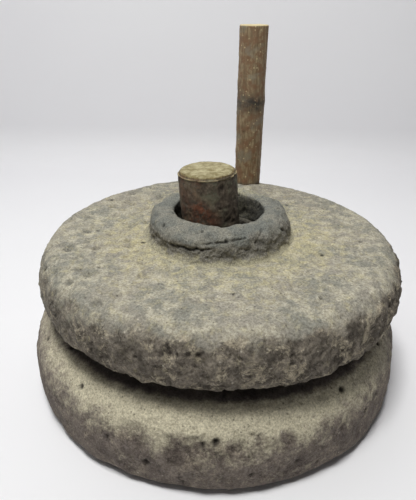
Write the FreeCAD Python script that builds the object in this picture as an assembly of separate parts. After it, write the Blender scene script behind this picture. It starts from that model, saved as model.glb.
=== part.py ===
import FreeCAD, Part
import math
import os

# Rotary hand quern: a runner stone turning on a bedstone about a wooden peg.
# Millimetres, +Z up. The origin is the centre of the bedstone's underside.
# The front of the mill, the side away from the handle, faces -Y.

V = FreeCAD.Vector
UP = V(0, 0, 1)

# --- driving dimensions -------------------------------------------------------------
BED_RADIUS = 185.0
BED_HEIGHT = 80.0
BED_SHOULDER = (48.0, 50.0)  # width and height of the rounding at the grinding face
BED_FOOT = (20.0, 9.0)  # width and height of the rounding at the ground

FACE_GAP = 0.6  # film of meal between the two grinding faces
RUNNER_RADIUS = 175.0
RUNNER_CENTRE = V(3.0, 0, 0)  # the hand-dressed outline isn't true to the turning axis
RUNNER_BOTTOM = BED_HEIGHT + FACE_GAP
RUNNER_RIM_Z = 107.0  # height of the widest part of the rim
RUNNER_SHOULDER_Z = 140.5
RUNNER_SHOULDER_WIDTH = 23.0
RUNNER_UNDERCUT_WIDTH = 43.0

EYE_CENTRE = V(2.3, 0, 0)
EYE_RADIUS = 43.0
THROAT_RADIUS = 50.0
THROAT_TOP_Z = 97.0
THROAT_TAPER = 9.0
SWALLOW_RADIUS = 84.0  # where the hollow that draws the grain in meets the face
SWALLOW_RISE = 2.5

COLLAR_SEAT_Z = 142.0
COLLAR_SEAT_RADIUS = 79.0
COLLAR_FOOT_RADIUS = 72.0
COLLAR_WALL = (68.6, 145.5)  # radius and height at which the flared foot meets the wall
COLLAR_SEAM = (67.4, 155.5)  # radius and height of the crease under the coil
COLLAR_COIL = (68.0, 158.5)
COLLAR_CREST = (54.5, 168.8)
COLLAR_LIP = (44.0, 165.0)

PEG_RADIUS = 27.7
PEG_LEAN = 4.9  # degrees, towards -X
PEG_PIVOT_Z = 87.5  # height at which the leaning peg crosses the turning axis
PEG_TOP_Z = 206.0  # height of the middle of the sawn top
PEG_TOP_TILT = 2.0  # degrees: it was sawn nearer to level than square to the peg
SOCKET_FLOOR = -62.0  # along the peg from its pivot height
SOCKET_RADIUS = 34.0

WEDGE_COUNT = 3
WEDGE_FIRST_ANGLE = 30.0
WEDGE_SPREAD = 38.0  # degrees of the socket that one wedge fills
WEDGE_TIP_RADIUS = 29.4
WEDGE_LENGTH = 40.0
WEDGE_TOP = -11.5  # along the peg from its pivot height

RYND_LENGTH = 150.0
RYND_WIDTH = 38.0
RYND_BOTTOM_Z = 80.5
RYND_THICKNESS = 14.0
RYND_RING_RADIUS = 36.5
RYND_HOLE_RADIUS = 29.2
RYND_PLAY = 0.7  # gap between the rynd and its slots, all round

HANDLE_CENTRE = V(36.3, 150.0, 0)
HANDLE_RADIUS = 15.7  # at the foot
HANDLE_TOP_RADIUS = 16.0
HANDLE_FOOT_Z = 104.0
HANDLE_STRAIGHT_Z = 146.0  # it doesn't taper inside its socket
HANDLE_TOP_Z = 322.6
HANDLE_TOP_EDGE = 1.5
HANDLE_KNOTS = ((183.0, 0.5), (243.0, 0.4))  # height and swelling of each knot
KNOT_HALF_LENGTH = 12.0
HANDLE_PLAY = 0.6  # radial gap in the socket, so that the handle turns with the hand
HANDLE_FOOT_GAP = 1.0

CUT = 1.0  # how far a cutting tool passes the surface that it opens


# --- geometry helpers ---------------------------------------------------------------
def point(radius, z):
    """A point of a turned outline, in the XZ plane."""
    return V(radius, 0, z)


def line(a, b):
    return Part.LineSegment(a, b).toShape()


def arc(a, through, b):
    return Part.Arc(a, through, b).toShape()


def quarter(centre, side_end, top_end):
    """A quarter ellipse from side_end to top_end, each straight out from its centre."""
    ends = sorted((side_end, top_end), key=lambda p: (p - centre).Length, reverse=True)
    ellipse = Part.Ellipse(ends[0], ends[1], centre)
    return Part.ArcOfEllipse(ellipse, 0, math.pi / 2).toShape()


def turned(edges, centre=V(0, 0, 0)):
    """The solid that a closed outline sweeps in one turn about a vertical axis."""
    wire = Part.Wire(Part.sortEdges(edges)[0])
    solid = Part.Face(wire).revolve(V(0, 0, 0), UP, 360)
    solid.translate(centre)
    return solid


def polygon(points):
    """The closed chain of straight edges through the points."""
    return [line(a, b) for a, b in zip(points, points[1:] + points[:1])]


def leaning(shape):
    """Moves a shape from the peg's own frame, with its origin at the pivot, to the mill."""
    shape.rotate(V(0, 0, 0), V(0, 1, 0), -PEG_LEAN)
    shape.translate(V(0, 0, PEG_PIVOT_Z))
    return shape


# --- the pieces ---------------------------------------------------------------------
def bedstone():
    width, height = BED_SHOULDER
    foot_width, foot_height = BED_FOOT
    face_radius = BED_RADIUS - width
    shoulder_z = BED_HEIGHT - height
    stone = turned([
        line(point(0, 0), point(BED_RADIUS - foot_width, 0)),
        quarter(point(BED_RADIUS - foot_width, foot_height),
                point(BED_RADIUS, foot_height), point(BED_RADIUS - foot_width, 0)),
        line(point(BED_RADIUS, foot_height), point(BED_RADIUS, shoulder_z)),
        quarter(point(face_radius, shoulder_z),
                point(BED_RADIUS, shoulder_z), point(face_radius, BED_HEIGHT)),
        line(point(face_radius, BED_HEIGHT), point(0, BED_HEIGHT)),
        line(point(0, BED_HEIGHT), point(0, 0)),
    ])
    socket = Part.makeCylinder(SOCKET_RADIUS, BED_HEIGHT, V(0, 0, SOCKET_FLOOR))
    return stone.cut(leaning(socket))


def eye_cutter():
    """The way down for the grain: a round eye that widens into a throat at the face."""
    taper_top = THROAT_TOP_Z + THROAT_TAPER
    return turned(polygon([
        point(0, RUNNER_BOTTOM - CUT),
        point(THROAT_RADIUS, RUNNER_BOTTOM - CUT),
        point(THROAT_RADIUS, THROAT_TOP_Z),
        point(EYE_RADIUS, taper_top),
        point(EYE_RADIUS, COLLAR_SEAT_Z + CUT),
        point(0, COLLAR_SEAT_Z + CUT),
    ]), EYE_CENTRE)


def swallow_cutter():
    """The shallow hollow in the runner's face that draws grain in from the throat."""
    return turned(polygon([
        point(0, RUNNER_BOTTOM),
        point(SWALLOW_RADIUS, RUNNER_BOTTOM),
        point(THROAT_RADIUS, RUNNER_BOTTOM + SWALLOW_RISE),
        point(0, RUNNER_BOTTOM + SWALLOW_RISE),
    ]))


def rynd_outline(grow, bottom, height):
    """The rynd's plan, a bar with a ring at its middle, enlarged by grow on every side."""
    half_width = RYND_WIDTH / 2 + grow
    half_straight = RYND_LENGTH / 2 + grow - half_width
    bar = Part.makeBox(2 * half_width, 2 * half_straight, height, V(-half_width, -half_straight, bottom))
    for side in (-1, 1):
        bar = bar.fuse(Part.makeCylinder(half_width, height, V(0, side * half_straight, bottom)))
    ring = Part.makeCylinder(RYND_RING_RADIUS + grow, height, V(0, 0, bottom))
    return bar.fuse(ring).removeSplitter()


def runner_stone():
    rim = point(RUNNER_RADIUS, RUNNER_RIM_Z)
    shoulder = point(RUNNER_RADIUS - RUNNER_SHOULDER_WIDTH, RUNNER_SHOULDER_Z)
    face_edge = point(RUNNER_RADIUS - RUNNER_UNDERCUT_WIDTH, RUNNER_BOTTOM)
    seat = point(COLLAR_SEAT_RADIUS, COLLAR_SEAT_Z)
    stone = turned([
        line(point(0, RUNNER_BOTTOM), face_edge),
        quarter(point(face_edge.x, RUNNER_RIM_Z), rim, face_edge),
        quarter(point(shoulder.x, RUNNER_RIM_Z), rim, shoulder),
        line(shoulder, seat),
        line(seat, point(0, COLLAR_SEAT_Z)),
        line(point(0, COLLAR_SEAT_Z), point(0, RUNNER_BOTTOM)),
    ], RUNNER_CENTRE)
    slot_bottom = RUNNER_BOTTOM - CUT
    slot_top = RYND_BOTTOM_Z + RYND_THICKNESS + RYND_PLAY
    stone = stone.cut(eye_cutter()).cut(swallow_cutter())
    stone = stone.cut(rynd_outline(RYND_PLAY, slot_bottom, slot_top - slot_bottom))
    socket_bottom = HANDLE_FOOT_Z - HANDLE_FOOT_GAP
    socket_place = V(HANDLE_CENTRE.x, HANDLE_CENTRE.y, socket_bottom)
    return stone.cut(Part.makeCylinder(HANDLE_RADIUS + HANDLE_PLAY, BED_HEIGHT, socket_place))


def eye_collar():
    """A clay wall round the eye with a coil along its top, a crease under the coil and a
    flared foot."""
    wall, seam, coil = point(*COLLAR_WALL), point(*COLLAR_SEAM), point(*COLLAR_COIL)
    crest, lip = point(*COLLAR_CREST), point(*COLLAR_LIP)
    inner_foot = point(EYE_RADIUS, COLLAR_SEAT_Z)
    outer_foot = point(COLLAR_FOOT_RADIUS, COLLAR_SEAT_Z)
    return turned([
        line(inner_foot, lip),
        quarter(point(crest.x, lip.z), lip, crest),
        quarter(point(crest.x, coil.z), coil, crest),
        line(coil, seam),
        line(seam, wall),
        quarter(point(outer_foot.x, wall.z), wall, outer_foot),
        line(outer_foot, inner_foot),
    ], EYE_CENTRE)


def pivot_peg():
    """A length of branch, sawn across its top and cut square where it stands in its socket."""
    branch = leaning(Part.makeCylinder(PEG_RADIUS, PEG_TOP_Z, V(0, 0, SOCKET_FLOOR)))
    top_centre = V(-(PEG_TOP_Z - PEG_PIVOT_Z) * math.tan(math.radians(PEG_LEAN)), 0, PEG_TOP_Z)
    waste = Part.makeBox(PEG_TOP_Z, PEG_TOP_Z, PEG_TOP_Z, V(-PEG_TOP_Z / 2, -PEG_TOP_Z / 2, 0))
    waste.rotate(V(0, 0, 0), V(0, 1, 0), -PEG_TOP_TILT)
    waste.translate(top_centre)
    return branch.cut(waste)


def peg_wedge(index):
    """A curved sliver of wood driven down between the peg and its socket."""
    tip = WEDGE_TOP - WEDGE_LENGTH
    outline = polygon([
        point(PEG_RADIUS, tip),
        point(WEDGE_TIP_RADIUS, tip),
        point(SOCKET_RADIUS, WEDGE_TOP),
        point(PEG_RADIUS, WEDGE_TOP),
    ])
    sliver = Part.Face(Part.Wire(outline)).revolve(V(0, 0, 0), UP, WEDGE_SPREAD)
    sliver.rotate(V(0, 0, 0), UP, WEDGE_FIRST_ANGLE + index * 360 / WEDGE_COUNT - WEDGE_SPREAD / 2)
    return leaning(sliver)


def rynd():
    """The loose bridge between the stones, which turns with the runner and centres it."""
    bar = rynd_outline(0, RYND_BOTTOM_Z, RYND_THICKNESS)
    hole = Part.makeCylinder(RYND_HOLE_RADIUS, RYND_THICKNESS + 2 * CUT, V(0, 0, RYND_BOTTOM_Z - CUT))
    return bar.cut(hole)


def stick_side(z):
    """The point at a height on the side of the stick, which thickens towards its top."""
    rise = (z - HANDLE_STRAIGHT_Z) / (HANDLE_TOP_Z - HANDLE_STRAIGHT_Z)
    return point(HANDLE_RADIUS + rise * (HANDLE_TOP_RADIUS - HANDLE_RADIUS), z)


def handle():
    """An upright stick with a swelling at each knot, loose enough in its socket to turn."""
    foot_edge = point(HANDLE_RADIUS, HANDLE_FOOT_Z)
    bottom = stick_side(HANDLE_STRAIGHT_Z)
    outline = [line(point(0, HANDLE_FOOT_Z), foot_edge), line(foot_edge, bottom)]
    for knot_z, swelling in HANDLE_KNOTS:
        start = stick_side(knot_z - KNOT_HALF_LENGTH)
        middle = stick_side(knot_z) + V(swelling, 0, 0)
        end = stick_side(knot_z + KNOT_HALF_LENGTH)
        outline += [line(bottom, start), arc(start, middle, end)]
        bottom = end
    top_corner = stick_side(HANDLE_TOP_Z - HANDLE_TOP_EDGE)
    top_edge = point(HANDLE_TOP_RADIUS - HANDLE_TOP_EDGE, HANDLE_TOP_Z)
    outline += [
        line(bottom, top_corner),
        line(top_corner, top_edge),
        line(top_edge, point(0, HANDLE_TOP_Z)),
        line(point(0, HANDLE_TOP_Z), point(0, HANDLE_FOOT_Z)),
    ]
    return turned(outline, HANDLE_CENTRE)


def main():
    pieces = {
        "bedstone": bedstone(),
        "pivot_peg": pivot_peg(),
        "rynd": rynd(),
        "runner_stone": runner_stone(),
        "eye_collar": eye_collar(),
        "handle": handle(),
    }
    for i in range(WEDGE_COUNT):
        pieces[f"peg_wedge_{i + 1}"] = peg_wedge(i)
    os.makedirs("parts", exist_ok=True)
    for name, shape in pieces.items():
        solid, = shape.Solids
        print(name, "valid" if solid.isValid() else "NOT VALID", round(solid.Volume), "mm3")
        solid.exportStep(f"parts/{name}.step")


main()
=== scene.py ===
import math

import bpy
import numpy as np
from mathutils import Matrix, Vector


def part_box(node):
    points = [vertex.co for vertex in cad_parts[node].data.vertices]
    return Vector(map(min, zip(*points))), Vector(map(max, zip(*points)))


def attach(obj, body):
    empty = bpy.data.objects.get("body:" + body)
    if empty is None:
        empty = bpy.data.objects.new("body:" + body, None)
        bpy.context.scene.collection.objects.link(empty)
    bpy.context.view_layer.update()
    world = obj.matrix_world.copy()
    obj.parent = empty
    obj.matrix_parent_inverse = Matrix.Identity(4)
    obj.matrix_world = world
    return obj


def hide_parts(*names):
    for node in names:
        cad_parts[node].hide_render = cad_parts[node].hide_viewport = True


# A rotary hand quern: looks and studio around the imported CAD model.
# Pieces are worked out in millimetres in the model's own frame and scaled as each mesh is made.
# The room and its lights are in metres.

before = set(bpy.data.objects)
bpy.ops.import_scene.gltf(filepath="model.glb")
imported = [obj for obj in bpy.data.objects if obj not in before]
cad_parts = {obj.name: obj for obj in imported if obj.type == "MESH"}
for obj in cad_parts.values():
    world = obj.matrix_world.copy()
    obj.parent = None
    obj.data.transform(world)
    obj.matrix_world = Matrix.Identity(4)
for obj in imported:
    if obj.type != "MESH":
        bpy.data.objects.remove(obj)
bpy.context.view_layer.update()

MM = 0.001  # metres in a millimetre


def node_box(node):
    """A CAD node's lowest and highest corners, in millimetres."""
    return [np.array(corner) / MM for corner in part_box(node)]


# --- sizes and places, from the frame or beside it, in millimetres ---
BED_LOW, BED_HIGH = node_box("bedstone")
RUNNER_LOW, RUNNER_HIGH = node_box("runner_stone")
COLLAR_LOW, COLLAR_HIGH = node_box("eye_collar")
HANDLE_LOW, HANDLE_HIGH = node_box("handle")
PEG_LOW, PEG_HIGH = node_box("pivot_peg")
RYND_LOW, RYND_HIGH = node_box("rynd")

BED_RADIUS = (BED_HIGH[0] - BED_LOW[0]) / 2
BED_TOP = BED_HIGH[2]
BED_SHOULDER = (48.0, 50.0)  # width and height of each rounded corner
BED_FOOT = (20.0, 9.0)
BED_FACE = (138.0, 147.0)  # the grinding face fades out between these radii
BED_OPEN = (158.0, 168.0)  # and the painted shade gives way to dust and painted light between these

RUNNER_X = (RUNNER_HIGH[0] + RUNNER_LOW[0]) / 2
RUNNER_RADIUS = (RUNNER_HIGH[0] - RUNNER_LOW[0]) / 2
RUNNER_BOTTOM = RUNNER_LOW[2]
RUNNER_TOP = RUNNER_HIGH[2]
RIM_Z = RUNNER_BOTTOM + 26.4  # where the runner is widest
SHOULDER_Z = RUNNER_TOP - 1.5
SHOULDER_WIDTH = 23.0
UNDERCUT_WIDTH = 43.0

EYE_X = (COLLAR_HIGH[0] + COLLAR_LOW[0]) / 2
EYE_RADIUS = 43.0
THROAT_RADIUS = 50.0
THROAT_TOP = RUNNER_BOTTOM + 16.4
THROAT_TAPER = 9.0
SWALLOW_RADIUS = 84.0  # the shallow hollow in the runner's underside
SWALLOW_RISE = 2.5

COLLAR_FOOT = (COLLAR_HIGH[0] - COLLAR_LOW[0]) / 2
COLLAR_CREST_Z = COLLAR_HIGH[2]

PEG_RADIUS = (PEG_HIGH[1] - PEG_LOW[1]) / 2
PEG_LEAN = math.radians(4.9)
PEG_PIVOT_Z = 87.5  # where the leaning peg crosses the turning axis
PEG_TOP = 118.9  # along the peg from its pivot height, as are the next two
PEG_EDGE = PEG_TOP - 3.0  # where the bark ends below the sawn top
PEG_FOOT = -62.0
PEG_TOP_TILT = math.radians(2.0)  # the sawn top is nearer to level than square to the peg
SOCKET_RADIUS = 34.0
SOCKET_FLOOR = PEG_PIVOT_Z + PEG_FOOT - 3.0

HANDLE_X = (HANDLE_LOW[0] + HANDLE_HIGH[0]) / 2
HANDLE_Y = (HANDLE_LOW[1] + HANDLE_HIGH[1]) / 2
HANDLE_RADIUS = 15.7
HANDLE_TOP_RADIUS = 15.95
HANDLE_SOCKET_RADIUS = 16.4
HANDLE_SOCKET_FLOOR = HANDLE_LOW[2] - 1.0

RYND_HALF_WIDTH = 19.0
RYND_PLAY = 0.7

# Points round each turned piece.
BED_SEGMENTS = 640
RUNNER_SEGMENTS = 600
COLLAR_SEGMENTS = 720
PEG_SEGMENTS = 288
HANDLE_SEGMENTS = 160


# --- noise ---
GRADIENTS = np.random.default_rng(5).normal(size=(256, 3))
GRADIENTS /= np.linalg.norm(GRADIENTS, axis=1)[:, None]
NOISE_GAIN = 1.6  # brings gradient noise up to about -1 to 1
CELL_PRIMES = [np.uint64(prime) for prime in (374761393, 668265263, 2246822519)]
SEED_PRIME = 3266489917
MIXING = ((15, 2654435761), (13, 1597334677))  # a shift and a prime for each round
LOW_BITS = np.uint64(0xFFFFFFFF)


def scramble(cell, seed):
    """A whole number below 2**32 for each integer cell, the same on every run."""
    x, y, z = (cell[..., i].astype(np.uint64) * CELL_PRIMES[i] for i in range(3))
    h = (x + y + z + np.uint64(seed * SEED_PRIME)) & LOW_BITS
    for shift, prime in MIXING:
        h = ((h ^ (h >> np.uint64(shift))) * np.uint64(prime)) & LOW_BITS
    return h ^ (h >> np.uint64(16))


def chance(cell, seed):
    """A number from 0 to 1 for each integer cell."""
    return scramble(cell, seed).astype(float) / 2.0**32


def noise(points, size, seed):
    """Smooth noise from about -1 to 1, whose bumps are about size across."""
    p = np.asarray(points, float) / size
    cell = np.floor(p).astype(np.int64)
    f = p - cell
    ease = f * f * f * (f * (f * 6 - 15) + 10)
    total = np.zeros(len(p))
    for corner in np.ndindex(2, 2, 2):
        step = np.array(corner)
        gradient = GRADIENTS[(scramble(cell + step, seed) & np.uint64(255)).astype(np.int64)]
        weight = np.where(step, ease, 1 - ease).prod(axis=1)
        total += weight * (gradient * (f - step)).sum(axis=1)
    return total * NOISE_GAIN


def fractal(points, size, octaves, seed):
    """Noise with finer noise added to it, each octave half the size of the last."""
    total = np.zeros(len(points))
    for octave in range(octaves):
        total += 0.5**octave * noise(points, size / 2**octave, seed + 7 * octave)
    return total


def ridged(points, size, octaves, seed):
    """Noise with sharp ridges and round hollows, from about -1 to 1."""
    total = np.zeros(len(points))
    for octave in range(octaves):
        folded = 1 - 2 * np.abs(noise(points, size / 2**octave, seed + 11 * octave))
        total += 0.5**octave * folded
    return total / 1.5 - 0.2


def near_cells(p, seed):
    """The 27 cells around each point, one by one, each with a random place inside it."""
    cell = np.floor(p).astype(np.int64)
    for step in np.ndindex(3, 3, 3):
        near = cell + (np.array(step) - 1)
        yield near, np.stack([chance(near, seed + i) for i in (1, 2, 3)], axis=1)


def pits(points, size, share, seed, smallest):
    """Depth from 0 to 1 of round pits, at most one in each cell, in the given share of cells.
    The smallest pits are that share of the widest, which are as wide as a cell."""
    p = np.asarray(points, float) / size
    depth = np.zeros(len(p))
    for near, inside in near_cells(p, seed):
        present = chance(near, seed) < share
        radius = 0.5 * (smallest + (1 - smallest) * chance(near, seed + 4))
        reach = 1 - ((p - (near + inside))**2).sum(axis=1) / radius**2
        shape = np.clip(reach, 0, 1) * radius * 2
        depth = np.maximum(depth, np.where(present, shape, 0))
    return depth


def facets(points, size, seed):
    """Flat broken faces, each at its own height and tilt, from about -1 to 1."""
    p = np.asarray(points, float) / size
    nearest = np.full(len(p), np.inf)
    height = np.zeros(len(p))
    for near, inside in near_cells(p, seed):
        offset = p - near - inside
        distance = (offset**2).sum(axis=1)
        tilt = np.stack([chance(near, seed + i) - 0.5 for i in (4, 5, 6)], axis=1)
        level = 1.2 * (chance(near, seed + 7) - 0.5) + 1.6 * (offset * tilt).sum(axis=1)
        closer = distance < nearest
        nearest = np.where(closer, distance, nearest)
        height = np.where(closer, level, height)
    return height


def ramp_up(value, low, high):
    """0 below low, 1 above high, and a smooth rise between; high may be the lower one."""
    t = np.clip((value - low) / (high - low), 0, 1)
    return t * t * (3 - 2 * t)


def bell(value, centre, width):
    """1 at the centre, falling to 0 smoothly on both sides."""
    return np.exp(-((value - centre) / width)**2)


def toward(angle, centre, width):
    """A bell round the upright axis, centred on a direction in degrees: -90 is the front."""
    gap = (np.degrees(angle) - centre + 180) % 360 - 180
    return bell(gap, 0, width)


def hold_in(move, freedom):
    """A move along the normals that only goes outward as far as freedom, 0 to 1, lets it."""
    return np.where(move > 0, move * freedom, move)


def crack(points, path, width, depth, seed):
    """Depth of a ragged crack that follows a path of points and closes up at both its ends."""
    wander = np.stack([noise(points, 5.0, seed + i) for i in range(3)], axis=1)
    p = points + 0.9 * wander
    path = np.array(path, float)
    total = len(path) - 1
    best = np.full(len(p), np.inf)
    along = np.zeros(len(p))
    for i in range(total):
        start, run = path[i], path[i + 1] - path[i]
        t = np.clip(((p - start) @ run) / (run @ run), 0, 1)
        distance = np.linalg.norm(p - start - t[:, None] * run, axis=1)
        closer = distance < best
        best = np.where(closer, distance, best)
        along = np.where(closer, (i + t) / total, along)
    opening = np.sqrt(np.clip(4 * along * (1 - along), 0, 1))
    return depth * opening * np.exp(-(best / (width * (0.35 + 0.65 * opening)))**2)


# --- meshes ---
ROUNDING_STEPS = 61
HOLE_SIDES = 96


def resample(outline, step):
    """Points along a chain of straight runs, about step apart, from its first to its last."""
    outline = np.array(outline, float)
    lengths = np.linalg.norm(np.diff(outline, axis=0), axis=1)
    reach = np.concatenate([[0], np.cumsum(lengths)])
    count = max(1, round(reach[-1] / step))
    at = np.linspace(0, reach[-1], count + 1)
    return np.stack([np.interp(at, reach, outline[:, i]) for i in range(outline.shape[1])], axis=1)


def rounding(centre, width, height, start, end, power=2.2):
    """Points of a rounded corner about its centre, from one angle to another in degrees."""
    turn = np.radians(np.linspace(start, end, ROUNDING_STEPS))
    x = np.sign(np.cos(turn)) * np.abs(np.cos(turn))**(2 / power)
    z = np.sign(np.sin(turn)) * np.abs(np.sin(turn))**(2 / power)
    return np.stack([centre[0] + width * x, centre[1] + height * z], axis=1)


def join_runs(*runs):
    """One outline from (points, step) runs, each starting where the last one ended."""
    pieces = [resample(points, step) for points, step in runs]
    return np.concatenate([pieces[0]] + [piece[1:] for piece in pieces[1:]])


def turned_grid(outline, segments, centre_x):
    """Points of a turned shape as (ring, segment, xyz); centre_x is a number, or one a ring."""
    turn = np.arange(segments) * 2 * math.pi / segments
    radius, z = outline[:, :1], outline[:, 1:2]
    x = np.asarray(centre_x).reshape(-1, 1) + radius * np.cos(turn)
    y = radius * np.sin(turn)
    return np.stack([x, y, np.broadcast_to(z, x.shape)], axis=-1)


def grid_normals(grid, closed):
    """Unit normals of a turned grid, pointing out of the solid."""
    around = np.roll(grid, -1, axis=1) - np.roll(grid, 1, axis=1)
    if closed:
        along = np.roll(grid, -1, axis=0) - np.roll(grid, 1, axis=0)
    else:
        along = np.gradient(grid, axis=0)
    normal = np.cross(around, along)
    return normal / np.maximum(np.linalg.norm(normal, axis=-1, keepdims=True), 1e-9)


def turned_points(outline, segments, centre_x, closed):
    """A turned grid's shape, and its points and their normals as two flat lists."""
    grid = turned_grid(outline, segments, centre_x)
    normals = grid_normals(grid, closed)
    return grid.shape, grid.reshape(-1, 3), normals.reshape(-1, 3)


def polar(p, centre_x=0.0):
    """Each point's distance and direction from an upright axis."""
    x = p[:, 0] - centre_x
    return np.hypot(x, p[:, 1]), np.arctan2(p[:, 1], x)


def on_circle(angle, height=0.0):
    """Points on a circle of radius 1: outward directions, or places for noise round a rim."""
    return np.stack([np.cos(angle), np.sin(angle), np.broadcast_to(height, angle.shape)], axis=1)


def add_mesh(name, points, faces):
    """A mesh from its points in metres and its faces."""
    mesh = bpy.data.meshes.new(name)
    mesh.from_pydata(points, [], faces)
    return mesh


def add_object(name, data):
    """An object around a mesh, a light or a camera, in the scene."""
    thing = bpy.data.objects.new(name, data)
    bpy.context.scene.collection.objects.link(thing)
    return thing


def grid_faces(rings, segments, closed):
    """Four-sided faces of a turned grid, with one many-sided face over each open end."""
    ring = np.arange(rings if closed else rings - 1)[:, None]
    here = np.arange(segments)[None, :]
    there = (here + 1) % segments
    above = (ring + 1) % rings
    corners = [ring * segments + here, ring * segments + there,
               above * segments + there, above * segments + here]
    faces = np.stack(corners, axis=-1).reshape(-1, 4).tolist()
    if not closed:
        faces.append(list(range(segments))[::-1])
        faces.append([(rings - 1) * segments + i for i in range(segments)])
    return faces


def make_piece(name, p, shape, closed, material, body, nodes, masks):
    """A visible piece from a turned grid's points in millimetres, with masks on its points."""
    mesh = add_mesh(name, (p * MM).tolist(), grid_faces(*shape[:2], closed))
    for mask_name, values in masks.items():
        attribute = mesh.attributes.new(mask_name, "FLOAT", "POINT")
        attribute.data.foreach_set("value", np.asarray(values, np.float32).ravel())
    mesh.polygons.foreach_set("use_smooth", [True] * len(mesh.polygons))
    mesh.materials.append(material)
    mesh.update()
    piece = add_object(name, mesh)
    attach(piece, body)
    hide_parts(*nodes)
    return piece


def tube(name, centre, radius, low, high):
    """A plain closed cylinder for cutting holes with."""
    sides = HOLE_SIDES
    turn = np.arange(sides) * 2 * math.pi / sides
    ring = np.stack([centre[0] + radius * np.cos(turn), centre[1] + radius * np.sin(turn)], axis=1)
    points = [(x * MM, y * MM, z * MM) for z in (low, high) for x, y in ring]
    faces = [(i, (i + 1) % sides, sides + (i + 1) % sides, sides + i) for i in range(sides)]
    faces += [tuple(range(sides))[::-1], tuple(range(sides, 2 * sides))]
    return add_object(name, add_mesh(name, points, faces))


def block(name, low, high):
    """A plain box for cutting slots with."""
    ring = ((low[0], low[1]), (high[0], low[1]), (high[0], high[1]), (low[0], high[1]))
    points = [(x * MM, y * MM, z * MM) for z in (low[2], high[2]) for x, y in ring]
    faces = [(3, 2, 1, 0), (4, 5, 6, 7), (0, 1, 5, 4), (1, 2, 6, 5), (2, 3, 7, 6), (3, 0, 4, 7)]
    return add_object(name, add_mesh(name, points, faces))


def carve(piece, *cutters):
    """Cuts the cutters' shapes out of a piece and removes them."""
    for cutter in cutters:
        cut = piece.modifiers.new("carve", "BOOLEAN")
        cut.operation = "DIFFERENCE"
        cut.solver = "MANIFOLD"
        cut.object = cutter
    ready = piece.evaluated_get(bpy.context.evaluated_depsgraph_get())
    mesh = bpy.data.meshes.new_from_object(ready)
    piece.modifiers.clear()
    piece.data = mesh
    for cutter in cutters:
        bpy.data.objects.remove(cutter)


# --- shader nodes ---
THICKEST_DUST_AND_LIGHT = 0.85  # how far dust and painted light hide what they lie on


def colour(red, green, blue):
    """A screen colour, 0 to 255, as the linear colour that shaders use."""
    values = [c / 255 for c in (red, green, blue)]
    linear = [c / 12.92 if c <= 0.04045 else ((c + 0.055) / 1.055)**2.4 for c in values]
    return (*linear, 1.0)


def add(tree, kind, inputs, **settings):
    """Adds a shader node and links or sets its inputs."""
    node = tree.nodes.new("ShaderNode" + kind)
    for key, value in settings.items():
        setattr(node, key, value)
    for key, value in inputs.items():
        if isinstance(value, bpy.types.NodeSocket):
            tree.links.new(value, node.inputs[key])
        else:
            node.inputs[key].default_value = value
    return node


def place(tree):
    """The point in the piece's own frame, in metres, which moves with the piece."""
    return tree.nodes.new("ShaderNodeTexCoord").outputs["Object"]


def stretched(tree, vector, scale):
    """The point with each axis scaled: a small scale draws a pattern out along its axis."""
    return add(tree, "Mapping", {"Vector": vector, "Scale": scale}).outputs[0]


def cloud(tree, vector, size_mm, detail, roughness=0.55, distortion=0.0):
    """Noise from 0 to 1 with features about size_mm across."""
    inputs = {"Vector": vector, "Scale": 1 / (size_mm * MM), "Detail": detail,
              "Roughness": roughness, "Distortion": distortion}
    return add(tree, "TexNoise", inputs).outputs["Fac"]


def cells(tree, vector, size_mm, output="Distance"):
    """Cells about size_mm across: the distance from each one's centre, or its own colour."""
    inputs = {"Vector": vector, "Scale": 1 / (size_mm * MM), "Randomness": 1.0}
    return add(tree, "TexVoronoi", inputs).outputs[output]


def span(tree, value, low, high, out_low=0.0, out_high=1.0):
    """Maps low..high to out_low..out_high, smoothly and clamped."""
    inputs = {"Value": value, "From Min": low, "From Max": high,
              "To Min": out_low, "To Max": out_high}
    return add(tree, "MapRange", inputs, interpolation_type="SMOOTHSTEP").outputs[0]


def calc(tree, operation, a, b):
    return add(tree, "Math", {0: a, 1: b}, operation=operation).outputs[0]


def times(tree, a, b):
    return calc(tree, "MULTIPLY", a, b)


def mix(tree, factor, a, b, blend="MIX"):
    inputs = {0: factor, 6: a, 7: b}
    return add(tree, "Mix", inputs, data_type="RGBA", blend_type=blend).outputs[2]


def mask(tree, name):
    """One of the masks that make_piece writes on the points, from 0 to about 1."""
    return add(tree, "Attribute", {}, attribute_name=name).outputs["Fac"]


def channel(tree, colour_socket, which="Red"):
    """One channel of a colour, as a random number for each cell."""
    return add(tree, "SeparateColor", {"Color": colour_socket}).outputs[which]


def finish_material(material, base, roughness, bumps, specular):
    """Closes a material: bumps are (height, strength, depth in millimetres), coarse first."""
    tree = material.node_tree
    normal = None
    for height, strength, depth in bumps:
        inputs = {"Height": height, "Strength": strength, "Distance": depth * MM}
        if normal is not None:
            inputs["Normal"] = normal
        normal = add(tree, "Bump", inputs).outputs[0]
    shader = add(tree, "BsdfPrincipled", {"Base Color": base, "Roughness": roughness,
                                          "Specular IOR Level": specular, "Normal": normal})
    add(tree, "OutputMaterial", {"Surface": shader.outputs[0]})
    return material


def dusted_and_lit(tree, base, patches, patchiness, least, dust_and_light):
    """Dust, which on the lower stone's front is also painted light, over a base colour where the
    mask is above least, in more or less fine patches.
    """
    uneven = times(tree, calc(tree, "SUBTRACT", patches, 0.5), patchiness)
    cover = calc(tree, "ADD", mask(tree, "dust_and_light"), uneven)
    return mix(tree, span(tree, cover, least, 1.0, 0.0, THICKEST_DUST_AND_LIGHT), base, dust_and_light)


def new_material(name):
    """An empty material and its node tree."""
    material = bpy.data.materials.new(name)
    material.use_nodes = True
    material.node_tree.nodes.clear()
    return material, material.node_tree


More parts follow.
